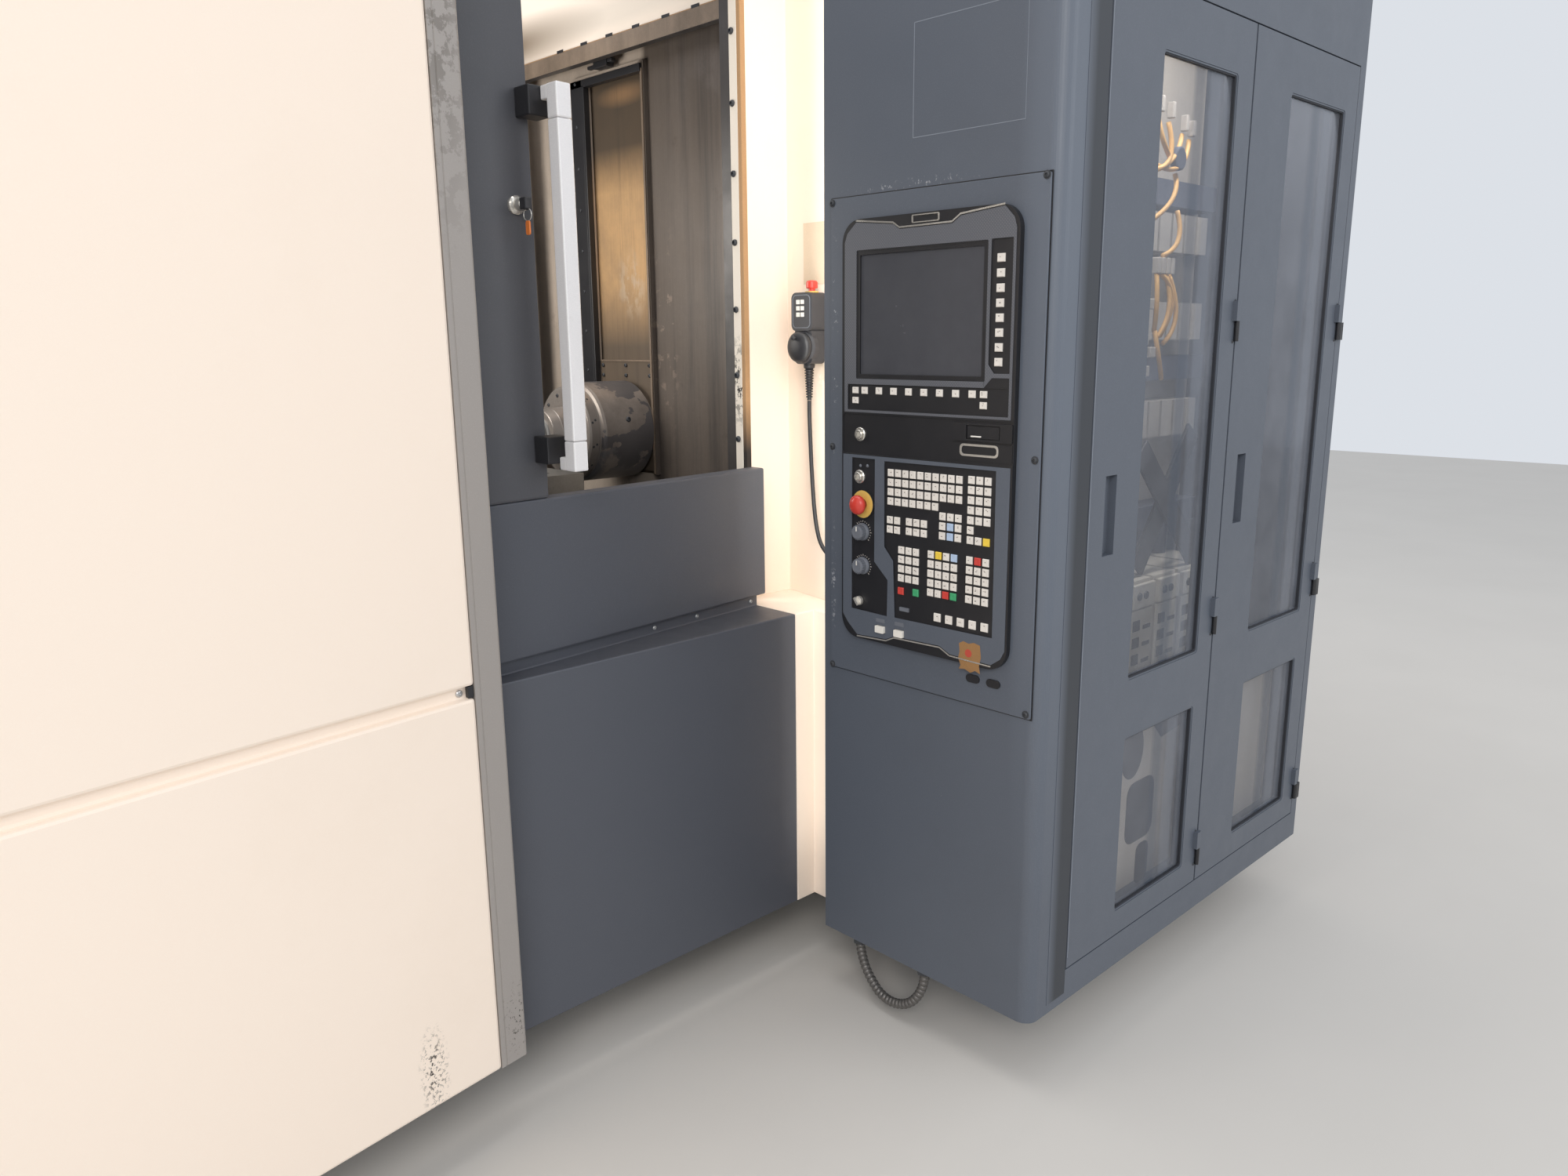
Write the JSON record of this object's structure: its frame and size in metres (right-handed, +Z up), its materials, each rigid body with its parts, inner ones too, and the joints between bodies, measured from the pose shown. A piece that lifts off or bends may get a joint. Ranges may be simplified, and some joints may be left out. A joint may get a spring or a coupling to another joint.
{
  "type": "cnc machining center",
  "caption": "Horizontal-spindle machining center with covers, sliding work door, rotary pallet table, glazed electrical cabinet and control panel.",
  "frame": {"origin": "centre of the machine's footprint box, on the floor", "axes": "+X to the right along the machine's front, +Y into its depth, +Z up; the spindle points to -X"},
  "size_m": [3.7, 2.7524, 2.65],
  "materials": {
    "cast_iron": "painted grey casting",
    "dark_steel": "dark painted steel",
    "bright_steel": "machined steel",
    "cream_paint": "cream powder coat, scuffed",
    "blue_grey_paint": "blue-grey powder coat",
    "grey_profile": "grey profile, scratched",
    "seal": "worn white and brown seal strip",
    "chamber_steel": "stained stainless sheet",
    "shutter_steel": "ribbed stainless sheet",
    "brass_cover": "bright sheet with warm reflections",
    "black_metal": "black",
    "mounting_plate_paint": "pale mounting plate",
    "switchgear_plastic": "white and grey switchgear",
    "drive_housing": "off-white housings",
    "duct_plastic": "grey-blue ducts",
    "dark_cover": "dark blue-grey powder coat",
    "bezel_plastic": "satin black",
    "screen_glass": "dark glass",
    "key_plastic": "white keys",
    "pendant_plastic": "dark grey-green",
    "cable_jacket": "black jacket",
    "conduit_metal": "ribbed conduit",
    "door_paint": "dark blue-grey powder coat",
    "handle_aluminium": "brushed",
    "window_glass": "clear pane",
    "head_paint": "worn paint",
    "pallet_steel": "ground top",
    "magazine_paint": "grey",
    "red_plastic": "red",
    "knob_plastic": "grey knob",
    "switch_metal": "bright",
    "white_plastic": "white",
    "black_plastic": "black"
  },
  "bodies": {
    "root": {"bed": "cast_iron", "levelling_feet": "dark_steel", "axis_drives": "bright_steel", "enclosure_frame": "dark_steel", "lower_panel": "dark_cover", "ledge": "cream_paint", "apron": "dark_cover", "left_covers": "cream_paint", "profile_strip": "grey_profile", "door_jamb": "cream_paint", "door_seals": "seal", "door_track": "bright_steel", "spindle_wall": "chamber_steel", "chamber_liner": "chamber_steel", "roof": "cream_paint", "left_end_cover": "cream_paint", "rear_cover": "cream_paint", "right_end_cover": "cream_paint", "cabinet_shell": "blue_grey_paint", "cabinet_hinges": "black_metal", "mounting_plate": "mounting_plate_paint", "switchgear": "switchgear_plastic", "drive_modules": "drive_housing", "wire_ducts": "duct_plastic", "control_plate": "blue_grey_paint", "control_bezel": "bezel_plastic", "display_screen": "screen_glass", "keypad": "key_plastic", "pendant_holder": "dark_steel", "pendant_body": "pendant_plastic", "pendant_cable": "cable_jacket", "conduit_loop": "conduit_metal"},
    "work_door": {"work_door": "door_paint", "door_glass": "window_glass", "door_handle": "handle_aluminium", "door_lock": "bright_steel"},
    "cabinet_leaf_left": {"cabinet_door_left": "blue_grey_paint", "cabinet_glass_left": "window_glass"},
    "cabinet_leaf_right": {"cabinet_door_right": "blue_grey_paint", "cabinet_glass_right": "window_glass"},
    "column": {"column": "cast_iron", "column_shutter": "shutter_steel"},
    "head": {"spindle_head": "head_paint", "head_cover": "brass_cover"},
    "spindle": {"spindle": "bright_steel"},
    "table": {"table_base": "cast_iron"},
    "rotary": {"rotary_table": "cast_iron", "pallet": "pallet_steel"},
    "magazine": {"tool_magazine": "magazine_paint"},
    "emergency_stop": {"emergency_stop": "red_plastic"},
    "feed_knob": {"feed_knob": "knob_plastic"},
    "rapid_knob": {"rapid_knob": "knob_plastic"},
    "mode_switch": {"mode_switch": "switch_metal"},
    "lock_switch": {"lock_switch": "switch_metal"},
    "memory_switch": {"memory_switch": "switch_metal"},
    "start_button": {"start_button": "white_plastic"},
    "stop_button": {"stop_button": "white_plastic"},
    "pendant_wheel": {"pendant_wheel": "black_plastic"},
    "pendant_knob": {"pendant_knob": "black_plastic"},
    "pendant_stop": {"pendant_stop": "red_plastic"}
  },
  "joints": [
    {"name": "work_door_slide", "type": "slide", "parent": "root", "child": "work_door", "axis": [0.993, 0.1184, 0], "range_m": [0, 0.64]},
    {"name": "cabinet_left_hinge", "type": "hinge", "parent": "root", "child": "cabinet_leaf_left", "pos_m": [0.874, -1.37115, 1.2], "axis": [0, 0, 1], "range_deg": [0, 90]},
    {"name": "cabinet_right_hinge", "type": "hinge", "parent": "root", "child": "cabinet_leaf_right", "pos_m": [1.425, -1.37115, 1.2], "axis": [0, 0, 1], "range_deg": [0, 115]},
    {"name": "column_slide", "type": "slide", "parent": "root", "child": "column", "axis": [0, 1, 0], "range_m": [-0.2, 0.2]},
    {"name": "head_slide", "type": "slide", "parent": "column", "child": "head", "axis": [0, 0, 1], "range_m": [0, 0.42]},
    {"name": "spindle_spin", "type": "hinge", "parent": "head", "child": "spindle", "pos_m": [0.2, 0.19815, 1.241], "axis": [-1, 0, 0], "continuous": true},
    {"name": "table_slide", "type": "slide", "parent": "root", "child": "table", "axis": [1, 0, 0], "range_m": [-0.55, 0.015]},
    {"name": "rotary_turn", "type": "hinge", "parent": "table", "child": "rotary", "pos_m": [-0.27, 0.19815, 1], "axis": [0, 0, 1], "continuous": true},
    {"name": "magazine_turn", "type": "hinge", "parent": "root", "child": "magazine", "pos_m": [0, 1.01615, 1.5], "axis": [1, 0, 0], "continuous": true},
    {"name": "emergency_stop_press", "type": "slide", "parent": "root", "child": "emergency_stop", "axis": [1, 0, 0], "range_m": [0, 0.005], "stiffness_N_per_m": 1500},
    {"name": "feed_knob_turn", "type": "hinge", "parent": "root", "child": "feed_knob", "pos_m": [0.2, -0.92785, 1.098], "axis": [-1, 0, 0], "range_deg": [-135, 135]},
    {"name": "rapid_knob_turn", "type": "hinge", "parent": "root", "child": "rapid_knob", "pos_m": [0.2, -0.92885, 1.027], "axis": [-1, 0, 0], "range_deg": [-135, 135]},
    {"name": "mode_switch_turn", "type": "hinge", "parent": "root", "child": "mode_switch", "pos_m": [0.2, -0.92085, 0.951], "axis": [-1, 0, 0], "range_deg": [-45, 45]},
    {"name": "lock_switch_turn", "type": "hinge", "parent": "root", "child": "lock_switch", "pos_m": [0.2, -0.91985, 1.298], "axis": [-1, 0, 0], "range_deg": [0, 90]},
    {"name": "memory_switch_turn", "type": "hinge", "parent": "root", "child": "memory_switch", "pos_m": [0.2, -0.91885, 1.2115], "axis": [-1, 0, 0], "range_deg": [0, 90]},
    {"name": "start_button_press", "type": "slide", "parent": "root", "child": "start_button", "axis": [1, 0, 0], "range_m": [0, 0.004], "stiffness_N_per_m": 600},
    {"name": "stop_button_press", "type": "slide", "parent": "root", "child": "stop_button", "axis": [1, 0, 0], "range_m": [0, 0.004], "stiffness_N_per_m": 600},
    {"name": "pendant_wheel_turn", "type": "hinge", "parent": "root", "child": "pendant_wheel", "pos_m": [0.312, -0.60385, 1.47], "axis": [-1, 0, 0], "continuous": true},
    {"name": "pendant_knob_turn", "type": "hinge", "parent": "root", "child": "pendant_knob", "pos_m": [0.352, -0.56985, 1.566], "axis": [0, 1, 0], "range_deg": [-60, 60]},
    {"name": "pendant_stop_press", "type": "slide", "parent": "root", "child": "pendant_stop", "axis": [0, 0, -1], "range_m": [0, 0.004], "stiffness_N_per_m": 800}
  ]
}
